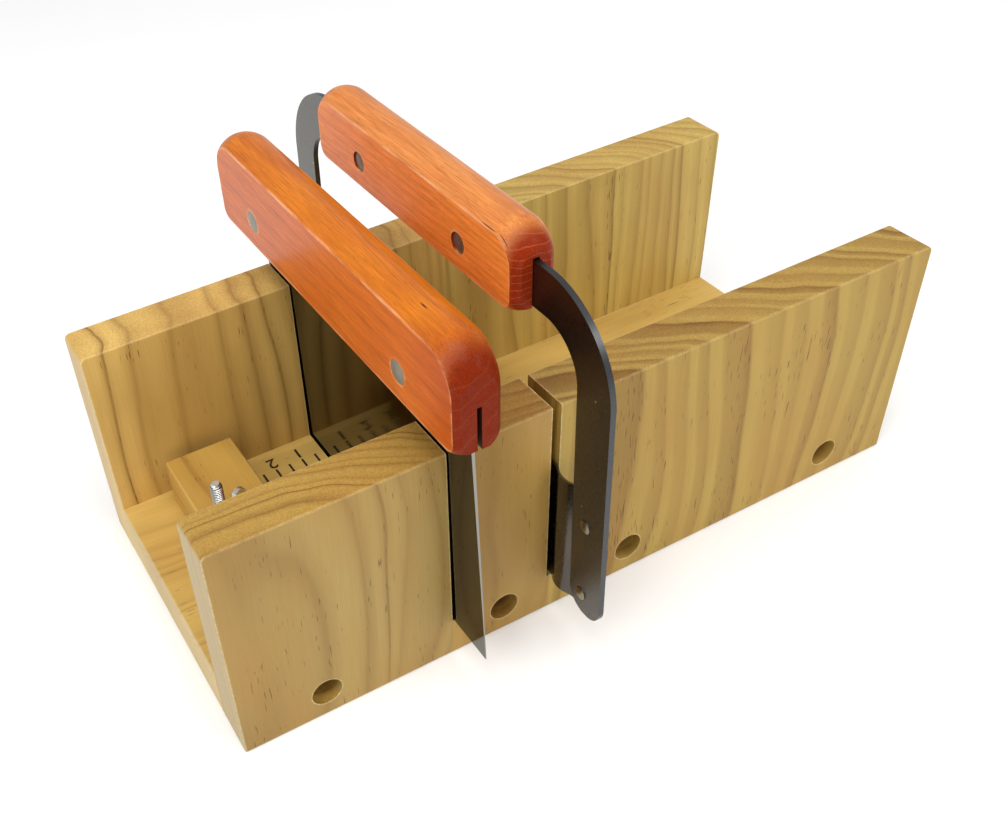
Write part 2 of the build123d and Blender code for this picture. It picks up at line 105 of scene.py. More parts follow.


# Planed pine under a thin clear coat gives the eye straw-coloured early wood,
# brown late wood in bands, a satin sheen, and pale sawn edges, partly torn
# fibres and partly a painted highlight. All lengths are millimetres, and turn
# brings the grain upright. Staves are (end of the stave along X, ring centre
# across the grain, ring width, ring strength, share of wide late wood). Logs are
# (from X, to X, change of colour, share of it on the faces, share on the ends).
# Bow curves the figure along the grain about its level, face and end shares are
# how strongly the rings show, crisp is how sharp they are, and edges is how far
# the arrises are paled, partly as bared fibres and partly as painted highlight.
def pine(name, turn, staves, early, logs=(), bow=0.0, face_share=0.6, face_crisp=0.3,
         end_share=1.0, edges=0.9):
    late = "#74490F"
    bow_level = 45.0
    # the ends at the stop's side are painted paler between these, as painted light
    painted_light_from, painted_light_to = -124.4 * mm, -124.9 * mm
    material, tree, shader = new_material(name)
    coords = add(tree, "ShaderNodeTexCoord", out=3)
    place = add(tree, "ShaderNodeMapping", {0: coords, 2: turn, 3: (1000, 1000, 1000)})
    x, y, z = axes_of(tree, place)
    normal = add(tree, "ShaderNodeTexCoord", out=1)
    normal = add(tree, "ShaderNodeMapping", {0: normal, 2: turn}, vector_type="NORMAL")
    end = add(tree, "ShaderNodeMath", {0: axes_of(tree, normal)[2]}, operation="ABSOLUTE")
    end = add(tree, "ShaderNodeMapRange", {0: end, 1: 0.4, 2: 0.9})
    # slow wander of the rings along and across the log, up to 13 mm either way
    slow = add(tree, "ShaderNodeMapping", {0: place, 3: (0.018, 0.03, 0.005)})
    wander = add(tree, "ShaderNodeTexNoise", {0: slow, "Scale": 1.0, "Detail": 2.5}, out=1)
    wander = add(tree, "ShaderNodeVectorMath", {0: wander, 1: (0.5, 0.5, 0.5)},
                 operation="SUBTRACT")
    wander = add(tree, "ShaderNodeVectorMath", {0: wander, 1: (26, 14, 0)}, operation="MULTIPLY")
    rise = add(tree, "ShaderNodeMath", {0: z, 1: bow_level}, operation="SUBTRACT")
    rise = add(tree, "ShaderNodeMath", {0: rise, 1: 2.0}, operation="POWER")
    lean = add(tree, "ShaderNodeMath", {0: rise, 1: bow, 2: x}, operation="MULTIPLY_ADD")
    flat = add(tree, "ShaderNodeCombineXYZ", {0: lean, 1: y})
    flat = add(tree, "ShaderNodeVectorMath", {0: flat, 1: wander})
    rings = None
    for stave_end, centre, width, strength, bold in reversed(staves):
        reach = add(tree, "ShaderNodeVectorMath", {0: flat, 1: (centre[0], centre[1], 0)},
                    out=1, operation="DISTANCE")
        turns = add(tree, "ShaderNodeMath", {0: reach, 1: width}, operation="DIVIDE")
        if rings is None:
            rings, force, broad = turns, strength, bold
        else:
            inside = add(tree, "ShaderNodeMath", {0: x, 1: stave_end}, operation="LESS_THAN")
            rings = add(tree, "ShaderNodeMix", {0: inside, 2: rings, 3: turns})
            force = add(tree, "ShaderNodeMix", {0: inside, 2: force, 3: strength})
            broad = add(tree, "ShaderNodeMix", {0: inside, 2: broad, 3: bold})
    # uneven years: the count itself is pushed about before it is cut into rings
    uneven = add(tree, "ShaderNodeTexNoise", {"W": rings, "Scale": 0.45, "Detail": 1.0},
                 noise_dimensions="1D")
    rings = add(tree, "ShaderNodeMath", {0: uneven, 1: 1.6, 2: rings}, operation="MULTIPLY_ADD")
    ring = add(tree, "ShaderNodeMath", {0: rings}, operation="FLOOR")
    part = add(tree, "ShaderNodeMath", {0: rings}, operation="FRACT")
    weight = add(tree, "ShaderNodeTexWhiteNoise", {"W": ring}, noise_dimensions="1D")
    weight = add(tree, "ShaderNodeMapRange", {0: weight, 3: 0.4, 4: 1.0})
    crisp = ramp(tree, part,
                 [(0.0, 0.55), (0.3, 0.12), (0.55, 0.05), (0.8, 0.4), (0.93, 1.0), (1.0, 0.6)])
    gentle = ramp(tree, part, [(0.0, 0.45), (0.35, 0.0), (0.7, 0.4), (0.88, 1.0), (1.0, 0.45)],
                  "EASE")
    gentle = add(tree, "ShaderNodeMix", {0: face_crisp, 2: gentle, 3: crisp})
    wide = ramp(tree, part,
                [(0.0, 0.1), (0.3, 0.0), (0.42, 0.55), (0.62, 0.75), (0.86, 1.0), (1.0, 0.1)])
    gentle = add(tree, "ShaderNodeMix", {0: broad, 2: gentle, 3: wide})
    crisp = add(tree, "ShaderNodeMix", {0: broad, 2: crisp, 3: wide})
    gentle = add(tree, "ShaderNodeMath", {0: gentle, 1: face_share}, operation="MULTIPLY")
    crisp = add(tree, "ShaderNodeMath", {0: crisp, 1: end_share}, operation="MULTIPLY")
    band = add(tree, "ShaderNodeMix", {0: end, 2: gentle, 3: crisp})
    band = add(tree, "ShaderNodeMath", {0: band, 1: weight}, operation="MULTIPLY")
    band = add(tree, "ShaderNodeMath", {0: band, 1: force}, operation="MULTIPLY")
    wood = add(tree, "ShaderNodeMix", {0: band, 6: srgb(early), 7: srgb(late)}, out=2,
               data_type="RGBA")
    # staves cut from another log differ in tone
    for low, high, change, on_faces, on_ends in logs:
        inside = add(tree, "ShaderNodeMath", {0: x, 1: (low + high) / 2, 2: (high - low) / 2},
                     operation="COMPARE")
        depth = add(tree, "ShaderNodeMapRange", {0: end, 3: on_faces, 4: on_ends})
        inside = add(tree, "ShaderNodeMath", {0: inside, 1: depth}, operation="MULTIPLY")
        other = add(tree, "ShaderNodeVectorMath", {0: wood, 1: change}, operation="MULTIPLY")
        wood = add(tree, "ShaderNodeMix", {0: inside, 6: wood, 7: other}, out=2, data_type="RGBA")
    # broad shifts towards a warmer tone, tens of millimetres across, then fibres
    tone = add(tree, "ShaderNodeMapping", {0: place, 3: (0.035, 0.035, 0.014)})
    tone = add(tree, "ShaderNodeTexNoise", {0: tone, "Scale": 1.0, "Detail": 3.0})
    warm = add(tree, "ShaderNodeMapRange", {0: tone, 1: 0.35, 2: 0.7, 3: 0.0, 4: 0.55})
    wood = add(tree, "ShaderNodeMix", {0: warm, 6: wood, 7: srgb("#AB7E38")}, out=2,
               data_type="RGBA")
    fibre = add(tree, "ShaderNodeMapping", {0: place, 3: (1.5, 1.5, 0.03)})
    fibre = add(tree, "ShaderNodeTexNoise", {0: fibre, "Scale": 1.6, "Detail": 4.0})
    shade = add(tree, "ShaderNodeMapRange", {0: fibre, 1: 0.3, 2: 0.7, 3: 0.945, 4: 1.045})
    wood = add(tree, "ShaderNodeVectorMath", {0: wood, "Scale": shade}, operation="SCALE")
    # cut fibre ends: pale and dark specks on the end grain
    speck = add(tree, "ShaderNodeTexNoise", {0: place, "Scale": 2.2, "Detail": 2.0})
    speck = add(tree, "ShaderNodeMapRange", {0: speck, 1: 0.35, 2: 0.65, 3: 0.81, 4: 1.07})
    speck = add(tree, "ShaderNodeMix", {0: end, 2: 1.0, 3: speck})
    wood = add(tree, "ShaderNodeVectorMath", {0: wood, "Scale": speck}, operation="SCALE")
    # resin canals: fine dark dashes a few millimetres long, thickest in some patches
    dash = add(tree, "ShaderNodeMapping", {0: place, 3: (1.9, 1.9, 0.16)})
    dash = add(tree, "ShaderNodeTexNoise", {0: dash, "Scale": 1.0, "Detail": 1.0})
    patch = add(tree, "ShaderNodeTexNoise", {0: place, "Scale": 0.045, "Detail": 1.0})
    dash = add(tree, "ShaderNodeMath", {0: patch, 1: 0.25, 2: dash}, operation="MULTIPLY_ADD")
    dash = add(tree, "ShaderNodeMath", {0: band, 1: 0.16, 2: dash}, operation="MULTIPLY_ADD")
    dash = add(tree, "ShaderNodeMath", {0: end, 1: -0.3, 2: dash}, operation="MULTIPLY_ADD")
    dash = add(tree, "ShaderNodeMapRange", {0: dash, 1: 0.86, 2: 0.92, 3: 0.0, 4: 0.7})
    wood = add(tree, "ShaderNodeMix", {0: dash, 6: wood, 7: srgb("#5A3F1C")}, out=2,
               data_type="RGBA")
    # painted light: the ends at the stop's side face the left lamp and are painted paler
    painted_light = add(tree, "ShaderNodeMapRange",
                 {0: axes_of(tree, coords)[0], 1: painted_light_from, 2: painted_light_to, 4: 0.4})
    wood = add(tree, "ShaderNodeMix", {0: painted_light, 6: wood, 7: srgb("#BDB396")}, out=2,
               data_type="RGBA")
    # sawn arrises painted pale: partly bared broken fibres, partly a painted highlight
    ragged = add(tree, "ShaderNodeTexNoise", {0: place, "Scale": 0.9, "Detail": 3.0})
    ragged = add(tree, "ShaderNodeMapRange", {0: ragged, 1: 0.38, 2: 0.6, 3: 0.35, 4: 1.0})
    pale_arris_and_highlight = edge_mask(tree, 0.7 * mm, 0.01, 0.1)
    pale_arris_and_highlight = add(tree, "ShaderNodeMath", {0: pale_arris_and_highlight, 1: ragged}, operation="MULTIPLY")
    pale_arris_and_highlight = add(tree, "ShaderNodeMath", {0: pale_arris_and_highlight, 1: edges}, operation="MULTIPLY")
    wood = add(tree, "ShaderNodeMix", {0: pale_arris_and_highlight, 6: wood, 7: srgb("#EBD9A4")}, out=2,
               data_type="RGBA")
    tree.links.new(wood, shader.inputs["Base Color"])
    rough = add(tree, "ShaderNodeMapRange", {0: fibre, 3: 0.48, 4: 0.62})
    tree.links.new(rough, shader.inputs["Roughness"])
    bump = add(tree, "ShaderNodeBump", {"Strength": 0.3, "Distance": 0.1 * mm, "Height": fibre})
    tree.links.new(bump, shader.inputs["Normal"])
    shader.inputs["Specular IOR Level"].default_value = 0.35
    return material


upright = (0, 0, 0)
lengthwise = (0, radians(-90), 0)
crosswise = (radians(90), 0, 0)
front_pine = pine(
    "planed_pine_front_wall", upright,
    staves=[(-53.5, (-118, -176), 3.4, 1.0, 0.0),
            (-18, (-150, -560), 4.0, 1.1, 0.5),
            (130, (-190, -400), 6.8, 1.15, 0.9)],
    # the left stave: faces greyer and darker, end grain yellower
    logs=[(-130, -53.5, (0.86, 0.93, 1.06), 1.0, 0.0),
          (-130, -53.5, (0.95, 0.93, 0.72), 0.0, 1.0),
          (-53.5, -18, (0.76, 0.65, 0.4), 0.25, 1.0),
          (-18, 130, (0.96, 1.04, 0.84), 1.0, 0.7)],
    early="#B9964F", bow=0.0015, face_share=0.66, face_crisp=0.6)
back_pine = pine(
    "planed_pine_back_wall", upright,
    staves=[(-52, (-420, 60), 12.0, 0.95, 0.0),
            (5, (-420, 60), 7.0, 0.8, 0.0),
            (130, (-60, -90), 5.0, 0.8, 0.5)],
    logs=[(5, 130, (0.9, 1.0, 0.97), 1.0, 0.0),
          (5, 130, (0.82, 0.86, 0.78), 0.0, 1.0)],
    early="#E2BB68", face_share=0.9, face_crisp=0.9)
floor_pine = pine(
    "planed_pine_floor", lengthwise,
    staves=[(-12, (-60, 30), 3.6, 1.0, 0.0), (60, (-40, -30), 3.6, 1.0, 0.0)],
    early="#DFBD69", face_share=0.5, end_share=0.4, edges=0.4)
dress(front_pine, "front_wall")
dress(back_pine, "back_wall")
dress(floor_pine, "base_board")

# The screws that hold the walls: flat-topped wood screws of bright zinc plate
# with a cross recess, heads down in their wells, and a rolled thread.


# Zinc plate gives the eye a cool grey metal with soft, slightly broken
# highlights; a cast surface is grainier (fewer grains to the metre, deeper).
# Painted root shade, for a thread, is (centre X, radius out to which it is dark,
# radius from which there is none, height above which there is none).
def zinc_plate(name, tint="#B4B3AD", grain=1500.0, relief=0.02 * mm, painted_root_shade=None):
    material, tree, shader = new_material(name)
    coords = add(tree, "ShaderNodeTexCoord", out=3)
    grit = add(tree, "ShaderNodeTexNoise", {0: coords, "Scale": grain, "Detail": 2.0})
    level = add(tree, "ShaderNodeMapRange", {0: grit, 3: 0.22, 4: 0.42})
    tree.links.new(level, shader.inputs["Roughness"])
    bump = add(tree, "ShaderNodeBump", {"Strength": 1.0, "Distance": relief, "Height": grit})
    tree.links.new(bump, shader.inputs["Normal"])
    shader.inputs["Base Color"].default_value = srgb(tint)
    shader.inputs["Metallic"].default_value = 1.0
    if painted_root_shade:
        # painted shade darkens the roots of the thread
        centre, core, crest, tip = painted_root_shade
        x, y, z = axes_of(tree, coords)
        x = add(tree, "ShaderNodeMath", {0: x, 1: centre}, operation="SUBTRACT")
        away = add(tree, "ShaderNodeCombineXYZ", {0: x, 1: y})
        away = add(tree, "ShaderNodeVectorMath", {0: away}, out=1, operation="LENGTH")
        away = add(tree, "ShaderNodeMapRange", {0: away, 1: core, 2: crest})
        above = add(tree, "ShaderNodeMath", {0: z, 1: tip}, operation="GREATER_THAN")
        away = add(tree, "ShaderNodeMath", {0: away, 1: above}, operation="MAXIMUM")
        colour = add(tree, "ShaderNodeMix", {0: away, 6: srgb("#2B2926"), 7: srgb(tint)}, out=2,
                     data_type="RGBA")
        tree.links.new(colour, shader.inputs["Base Color"])
    return material


zinc = zinc_plate("bright_zinc_plate")


# Names and dresses a new piece, and says which body it is for and which nodes
# it replaces; its slot is not used
def finish_piece(piece, name, material, body, slot, *replaced):
    piece.name = name
    piece.data.materials.clear()
    piece.data.materials.append(material)
    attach(piece, body)
    if replaced:
        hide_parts(*replaced)


# A turned outline of (radius, height) pairs about Z, closed at the axis
def turned(outline, sides=48):
    bm = bmesh.new()
    rings = []
    for radius, height in outline:
        if radius == 0:
            rings.append([bm.verts.new((0, 0, height))])
        else:
            angles = [2 * pi * k / sides for k in range(sides)]
            points = [(radius * cos(angle), radius * sin(angle), height) for angle in angles]
            rings.append([bm.verts.new(point) for point in points])
    for low, high in zip(rings, rings[1:]):
        for k in range(sides):
            corners = [low[k % len(low)], low[(k + 1) % len(low)],
                       high[(k + 1) % len(high)], high[k % len(high)]]
            bm.faces.new(list(dict.fromkeys(corners)))
    bmesh.ops.recalc_face_normals(bm, faces=bm.faces)
    mesh = bpy.data.meshes.new("turned")
    bm.to_mesh(mesh)
    bm.free()
    piece = bpy.data.objects.new("turned", mesh)
    bpy.context.collection.objects.link(piece)
    return piece


# A screw thread: a three-cornered ridge wound about Z between two heights, run
# out to nothing at both ends. Its foot is a little narrower than the pitch and
# lies inside the core, so the turns neither touch each other nor stand clear.
def thread(core, crest, pitch, low, high, steps=28):
    half = pitch * 0.46
    root = core - pitch * 0.1
    bm = bmesh.new()
    count = int((high - low - pitch) / pitch * steps)
    rows = []
    for k in range(count + 1):
        angle = 2 * pi * k / steps
        fade = min(1.0, k / steps, (count - k) / steps)
        middle = low + pitch / 2 + pitch * k / steps
        peak = core + (crest - core) * fade
        points = [(root, middle - half), (peak, middle), (root, middle + half)]
        rows.append([bm.verts.new((r * cos(angle), r * sin(angle), z)) for r, z in points])
    for this, after in zip(rows, rows[1:]):
        for k in range(3):
            bm.faces.new([this[k], this[(k + 1) % 3], after[(k + 1) % 3], after[k]])
    bm.faces.new(rows[0])
    bm.faces.new(rows[-1])
    bmesh.ops.recalc_face_normals(bm, faces=bm.faces)
    mesh = bpy.data.meshes.new("thread")
    bm.to_mesh(mesh)
    bm.free()
    piece = bpy.data.objects.new("thread", mesh)
    bpy.context.collection.objects.link(piece)
    return piece


def join(pieces):
    bpy.ops.object.select_all(action="DESELECT")
    for piece in pieces:
        piece.select_set(True)
    bpy.context.view_layer.objects.active = pieces[0]
    bpy.ops.object.join()
    bpy.ops.object.transform_apply(location=True, rotation=True, scale=True)
    return bpy.context.object


screw_tip = 29.9 * mm
screw_head_height = 2.8 * mm
screw_head_radius = 3.73 * mm
screw_core = 1.4 * mm
screw_crest = 1.95 * mm
screw_pitch = 1.8 * mm
screw_thread_start = 3.0 * mm
screw_thread_end = 26.0 * mm
wall_face = 57.0 * mm
well_depth = 8.5 * mm
seat_y = wall_face - well_depth
screw_twist = radians(37)  # each was driven home at another angle
# the two arms of the cross differ a hair in size, so that no faces coincide
recess_arms = ((1.0 * mm, 4.2 * mm, 3.0 * mm), (4.2 * mm, 1.01 * mm, 3.01 * mm))

screw = turned([
    (0, -screw_head_height), (2.55 * mm, -screw_head_height), (3.55 * mm, -1.9 * mm),
    (screw_head_radius, -1.3 * mm), (screw_head_radius, -0.1 * mm), (3.6 * mm, 0),
    (1.45 * mm, 0), (screw_core, screw_thread_end), (0, screw_tip)])
for arm in recess_arms:
    bpy.ops.mesh.primitive_cube_add(size=1, location=(0, 0, -screw_head_height))
    recess = bpy.context.object
    recess.scale = arm
    bpy.context.view_layer.objects.active = screw
    cut = screw.modifiers.new("recess", "BOOLEAN")
    cut.operation = "DIFFERENCE"
    cut.object = recess
    bpy.ops.object.modifier_apply(modifier="recess")
    bpy.data.objects.remove(recess)
screw_thread = thread(screw_core, screw_crest, screw_pitch, screw_thread_start, screw_thread_end)
screw = join([screw, screw_thread])
for side, word, turn in ((-1, "front", -90), (1, "back", 90)):
    for number in (1, 2, 3, 4):
        name = word + "_screw_" + str(number)
        corners = [nodes[name].matrix_world @ Vector(c) for c in nodes[name].bound_box]
        middle = sum(corners, Vector()) / 8
        copy = bpy.data.objects.new(name + "_detail", screw.data.copy())
        bpy.context.collection.objects.link(copy)
        twist = Matrix.Rotation(screw_twist * number, 4, "Z")
        seat = Matrix.Translation((middle.x, side * seat_y, middle.z))
        copy.data.transform(seat @ Matrix.Rotation(radians(turn), 4, "X") @ twist)
        finish_piece(copy, name + "_detail", zinc, "box", "zinc", name)
bpy.data.objects.remove(screw)

# The ruler: half-centimetre marks and centimetre numbers printed in black ink on
# the floor, counted from the straight slot towards the stop.

# Printing ink gives the eye a matt near black, worn thin to brown in places
ink, ink_tree, ink_shader = new_material("black_printing_ink")
ink_coords = add(ink_tree, "ShaderNodeTexCoord", out=3)
ink_wear = add(ink_tree, "ShaderNodeTexNoise", {0: ink_coords, "Scale": 900.0, "Detail": 3.0})
ink_colour = ramp(ink_tree, ink_wear, [(0.35, "#15120E"), (0.7, "#3A2E20")])
ink_tree.links.new(ink_colour, ink_shader.inputs["Base Color"])
ink_shader.inputs["Roughness"].default_value = 0.55

floor_z = 19.0 * mm
zero_x = -51.7 * mm
mark_back = 30.3 * mm
mark_length = 7.0 * mm
mark_width = 0.8 * mm
mark_pitch = 5 * mm
mark_count = 10
ink_height = 0.04 * mm
number_middle = 34.0 * mm
number_size = 7.2 * mm
number_pitch = 10 * mm
number_count = 5
stroke_swell = 0.08 * mm
bpy.ops.object.select_all(action="DESELECT")
marks = []
for step in range(1, mark_count + 1):
    middle = (zero_x - mark_pitch * step, mark_back - mark_length / 2, floor_z + ink_height / 2)
    bpy.ops.mesh.primitive_cube_add(size=1, location=middle)
    mark = bpy.context.object
    mark.scale = (mark_width, mark_length, ink_height)
    marks.append(mark)
for centimetre in range(1, number_count + 1):
    middle = (zero_x - number_pitch * centimetre, number_middle, floor_z)
    bpy.ops.object.text_add(location=middle, rotation=(0, 0, pi))
    number = bpy.context.object
    number.data.body = str(centimetre)
    number.data.size = number_size
    number.data.extrude = ink_height / 2
    number.data.offset = stroke_swell
    number.data.align_x = "CENTER"
    number.data.align_y = "CENTER"
    bpy.ops.object.convert(target="MESH")
    number = bpy.context.object
    number.location.z += ink_height / 2
    marks.append(number)
finish_piece(join(marks), "ruler_marks", ink, "box", "pine")

# The stop: a pine block on the floor, with its grain across the box, clamped by
# a zinc-plated bolt with a domed head below, a washer and a cast wing nut.
stop_pine = pine("planed_pine_stop", crosswise, [(130, (-60, -130), 6.0, 1.0, 0.0)],
                 early="#C8A04C")
dress(stop_pine, "stop_block")
dress(zinc, "washer")
cast_zinc = zinc_plate("cast_wing_nut", "#D2D1CB", grain=1300.0, relief=0.25 * mm)
dress(cast_zinc, "wing_nut")

bolt_x = -102.0 * mm
bolt_head_bottom = 2.0 * mm
bolt_head_top = 4.95 * mm
bolt_head_radius = 3.95 * mm
neck_side = 4.15 * mm
neck_height = 3.0 * mm
shank_radius = 1.6 * mm
bolt_tip = 51.95 * mm
bolt_core = 1.55 * mm
bolt_crest = 1.99 * mm
bolt_pitch = 0.7 * mm
bolt_thread_start = 8.2 * mm
bolt_thread_end = 51.9 * mm
shank = turned([
    (0, bolt_head_bottom), (2.4 * mm, 2.15 * mm), (3.5 * mm, 2.8 * mm),
    (bolt_head_radius, 3.9 * mm), (bolt_head_radius, bolt_head_top),
    (shank_radius, bolt_head_top), (shank_radius, 51.5 * mm), (1.25 * mm, bolt_tip),
    (0, bolt_tip)])
bpy.ops.mesh.primitive_cube_add(size=1, location=(0, 0, bolt_head_top + neck_height / 2))
neck = bpy.context.object
neck.scale = (neck_side, neck_side, neck_height)
bolt_thread = thread(bolt_core, bolt_crest, bolt_pitch, bolt_thread_start, bolt_thread_end)
bolt = join([shank, neck, bolt_thread])
bolt.data.transform(Matrix.Translation((bolt_x, 0, 0)))
# the same plate, with painted shade in the roots of its thread: dark out to
# 1.68 mm from its axis, none from 1.92 mm, and none at the tip above 51.2 mm
bolt_zinc = zinc_plate("zinc_bolt_painted_root_shade", "#E4E3DD",
                       painted_root_shade=(bolt_x, 1.68 * mm, 1.92 * mm, 51.2 * mm))
finish_piece(bolt, "clamp_bolt_detail", bolt_zinc, "stop", "zinc", "clamp_bolt")

# The straight cutter: a kerfed handle of reddish stained hardwood under gloss
# varnish, a polished stainless blade let into the kerf, and two aluminium rivets.


# Stained hardwood under gloss varnish gives the eye a warm orange with a soft
# gloss, short dark pores, paler arrises (partly rubbed wood, partly painted
# highlight), and dark, duller ends (partly end grain, partly painted shade). Its
# colours are for the sides, the crowned top and the ends; the top's differing
# from the sides' is painted light. Lengths are millimetres: heart is where the
# rings' centre lies, year their width, kerf (middle X, half width, top), cracks
# (middle, half sizes), and soaked the Y range where the stain deepens.
# End_lines is how far the rings show on the ends.
def stained_hardwood(name, side, bright, end, heart, year, end_lines, kerf, cracks=(),
                     soaked=None):
    material, tree, shader = new_material(name)
    coords = add(tree, "ShaderNodeTexCoord", out=3)
    place = add(tree, "ShaderNodeMapping", {0: coords, 3: (1000, 1000, 1000)})
    # growth rings about a heart that lies along the handle, drawn into figure
    slow = add(tree, "ShaderNodeMapping", {0: place, 3: (0.06, 0.012, 0.06)})
    wander = add(tree, "ShaderNodeTexNoise", {0: slow, "Scale": 1.0, "Detail": 3.0}, out=1)
    wander = add(tree, "ShaderNodeVectorMath", {0: wander, 1: (9, 0, 9)}, operation="MULTIPLY")
    field = add(tree, "ShaderNodeVectorMath", {0: place, 1: wander})
    field = add(tree, "ShaderNodeVectorMath", {0: field, 1: (1, 0.02, 1)}, operation="MULTIPLY")
    reach = add(tree, "ShaderNodeVectorMath", {0: field, 1: heart}, out=1, operation="DISTANCE")
    rings = add(tree, "ShaderNodeMath", {0: reach, 1: year}, operation="DIVIDE")
    part = add(tree, "ShaderNodeMath", {0: rings}, operation="FRACT")
    lines = ramp(tree, part, [(0.0, 0.3), (0.45, 0.0), (0.8, 0.6), (0.93, 1.0), (1.0, 0.3)],
                 "EASE")
    thin = ramp(tree, part, [(0.0, 0.0), (0.82, 0.0), (0.92, 1.0), (1.0, 0.0)])
    normal = axes_of(tree, add(tree, "ShaderNodeTexCoord", out=1))
    # painted light: the top takes its own colour, set apart from the sides' for its other light
    top = add(tree, "ShaderNodeMapRange", {0: normal[2], 1: 0.1, 2: 0.6})
    ends = add(tree, "ShaderNodeMath", {0: normal[1]}, operation="ABSOLUTE")
    ends = add(tree, "ShaderNodeMapRange", {0: ends, 1: 0.2, 2: 0.75},
               interpolation_type="SMOOTHSTEP")
    colour = add(tree, "ShaderNodeMix", {0: top, 6: srgb(side), 7: srgb(bright)}, out=2,
                 data_type="RGBA")
    dark = add(tree, "ShaderNodeVectorMath", {0: colour, 1: (0.66, 0.46, 0.32)},
               operation="MULTIPLY")
    level = add(tree, "ShaderNodeMath", {0: lines, 1: 0.4}, operation="MULTIPLY")
    colour = add(tree, "ShaderNodeMix", {0: level, 6: colour, 7: dark}, out=2, data_type="RGBA")
    # stain taken up in blotches, deeper in some places
    blotch = add(tree, "ShaderNodeMapping", {0: place, 3: (0.12, 0.035, 0.12)})
    blotch = add(tree, "ShaderNodeTexNoise", {0: blotch, "Scale": 1.0, "Detail": 3.0})
    blotch = add(tree, "ShaderNodeMapRange", {0: blotch, 1: 0.35, 2: 0.65, 3: 0.0, 4: 0.45})
    deep = add(tree, "ShaderNodeVectorMath", {0: colour, 1: (0.85, 0.66, 0.5)},
               operation="MULTIPLY")
    colour = add(tree, "ShaderNodeMix", {0: blotch, 6: colour, 7: deep}, out=2, data_type="RGBA")
    if soaked:
        # stain drawn in deeper towards one end
        towards = add(tree, "ShaderNodeMapRange",
                      {0: axes_of(tree, place)[1], 1: soaked[0], 2: soaked[1], 4: 0.8})
        deep = add(tree, "ShaderNodeVectorMath", {0: colour, 1: (0.74, 0.5, 0.4)},
                   operation="MULTIPLY")
        colour = add(tree, "ShaderNodeMix", {0: towards, 6: colour, 7: deep}, out=2,
                     data_type="RGBA")
    grain = add(tree, "ShaderNodeMath", {0: thin, 1: end_lines}, operation="MULTIPLY")
    # the ends' dark colour is partly their own end grain, partly painted shade
    sawn = add(tree, "ShaderNodeMix", {0: grain, 6: srgb(end), 7: srgb("#D98A5E")}, out=2,
               data_type="RGBA")
    colour = add(tree, "ShaderNodeMix", {0: ends, 6: colour, 7: sawn}, out=2, data_type="RGBA")
    # fibres, then open pores a few millimetres long and a third of one wide
    fibre = add(tree, "ShaderNodeMapping", {0: place, 3: (2.6, 0.07, 2.6)})
    fibre = add(tree, "ShaderNodeTexNoise", {0: fibre, "Scale": 1.3, "Detail": 4.0})
    shade = add(tree, "ShaderNodeMapRange", {0: fibre, 1: 0.3, 2: 0.7, 3: 0.74, 4: 1.2})
    colour = add(tree, "ShaderNodeVectorMath", {0: colour, "Scale": shade}, operation="SCALE")
    pore = add(tree, "ShaderNodeMapping", {0: place, 3: (3.4, 0.25, 3.4)})
    pore = add(tree, "ShaderNodeTexNoise", {0: pore, "Scale": 1.0, "Detail": 2.0})
    pore = add(tree, "ShaderNodeMapRange", {0: pore, 1: 0.62, 2: 0.7, 3: 0.0, 4: 0.35})
    colour = add(tree, "ShaderNodeMix", {0: pore, 6: colour, 7: srgb("#6E2408")}, out=2,
                 data_type="RGBA")
    # the crisp arrises are paler in places: partly rubbed through to paler wood, partly a painted
    # highlight
    rub_and_glint = add(tree, "ShaderNodeMapping", {0: place, 3: (0.3, 0.07, 0.3)})
    rub_and_glint = add(tree, "ShaderNodeTexNoise", {0: rub_and_glint, "Scale": 1.0, "Detail": 3.0})
    rub_and_glint = add(tree, "ShaderNodeMapRange", {0: rub_and_glint, 1: 0.42, 2: 0.62, 3: 0.1, 4: 0.95})
    pale_arris_and_highlight = edge_mask(tree, 1.6 * mm, 0.002, 0.02)
    pale_arris_and_highlight = add(tree, "ShaderNodeMath", {0: pale_arris_and_highlight, 1: rub_and_glint}, operation="MULTIPLY")
    plain = add(tree, "ShaderNodeMath", {0: 1.0, 1: ends}, operation="SUBTRACT")
    pale_arris_and_highlight = add(tree, "ShaderNodeMath", {0: pale_arris_and_highlight, 1: plain}, operation="MULTIPLY")
    colour = add(tree, "ShaderNodeMix", {0: pale_arris_and_highlight, 6: colour, 7: srgb("#F3B684")}, out=2,
                 data_type="RGBA")
    # inside the kerf, below its top, the wood is near black
    x, y, z = axes_of(tree, place)
    inside = add(tree, "ShaderNodeMath", {0: x, 1: kerf[0], 2: kerf[1]}, operation="COMPARE")
    below = add(tree, "ShaderNodeMath", {0: z, 1: kerf[2]}, operation="LESS_THAN")
    inside = add(tree, "ShaderNodeMath", {0: inside, 1: below}, operation="MULTIPLY")
    colour = add(tree, "ShaderNodeMix", {0: inside, 6: colour, 7: srgb("#2A1008")}, out=2,
                 data_type="RGBA")
    # drying cracks: dark slits given by their middle and half sizes
    for middle, half in cracks:
        slit = add(tree, "ShaderNodeVectorMath", {0: place, 1: middle}, operation="SUBTRACT")
        slit = add(tree, "ShaderNodeVectorMath", {0: slit, 1: half}, operation="DIVIDE")
        slit = add(tree, "ShaderNodeVectorMath", {0: slit}, out=1, operation="LENGTH")
        slit = add(tree, "ShaderNodeMapRange", {0: slit, 1: 1.0, 2: 0.55, 3: 0.0, 4: 0.9})
        colour = add(tree, "ShaderNodeMix", {0: slit, 6: colour, 7: srgb("#2A0E06")}, out=2,
                     data_type="RGBA")
    tree.links.new(colour, shader.inputs["Base Color"])
    bump = add(tree, "ShaderNodeBump", {"Strength": 0.35, "Distance": 0.1 * mm, "Height": fibre})
    tree.links.new(bump, shader.inputs["Normal"])
